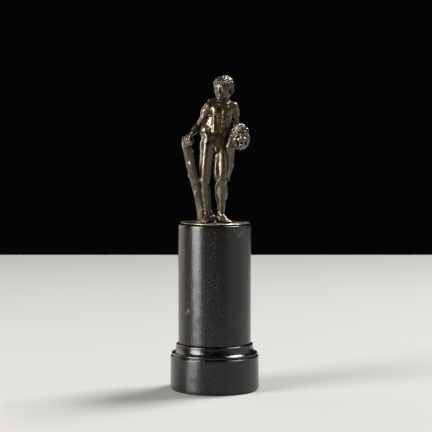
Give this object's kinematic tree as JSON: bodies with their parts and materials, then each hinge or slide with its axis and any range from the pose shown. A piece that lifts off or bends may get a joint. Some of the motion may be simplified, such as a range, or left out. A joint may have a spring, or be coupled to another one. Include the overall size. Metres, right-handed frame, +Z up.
{
  "type": "bronze hercules statuette",
  "caption": "Small bronze of a standing nude Hercules with club and lion's skin, on a tall round turned wood plinth.",
  "frame": {"origin": "middle of the plinth's flat underside, on the plinth's axis", "axes": "+Z up along the plinth's axis; the figure faces -Y, with his right hand and the club towards -X"},
  "size_m": [0.052, 0.052, 0.1832],
  "materials": {
    "bronze": "dark brown patina, rubbed to golden brown on the high points",
    "ebonised_wood": "black stained and waxed, satin"
  },
  "bodies": {
    "root": {"hercules": "bronze", "column": "ebonised_wood", "socle": "ebonised_wood"}
  },
  "joints": []
}
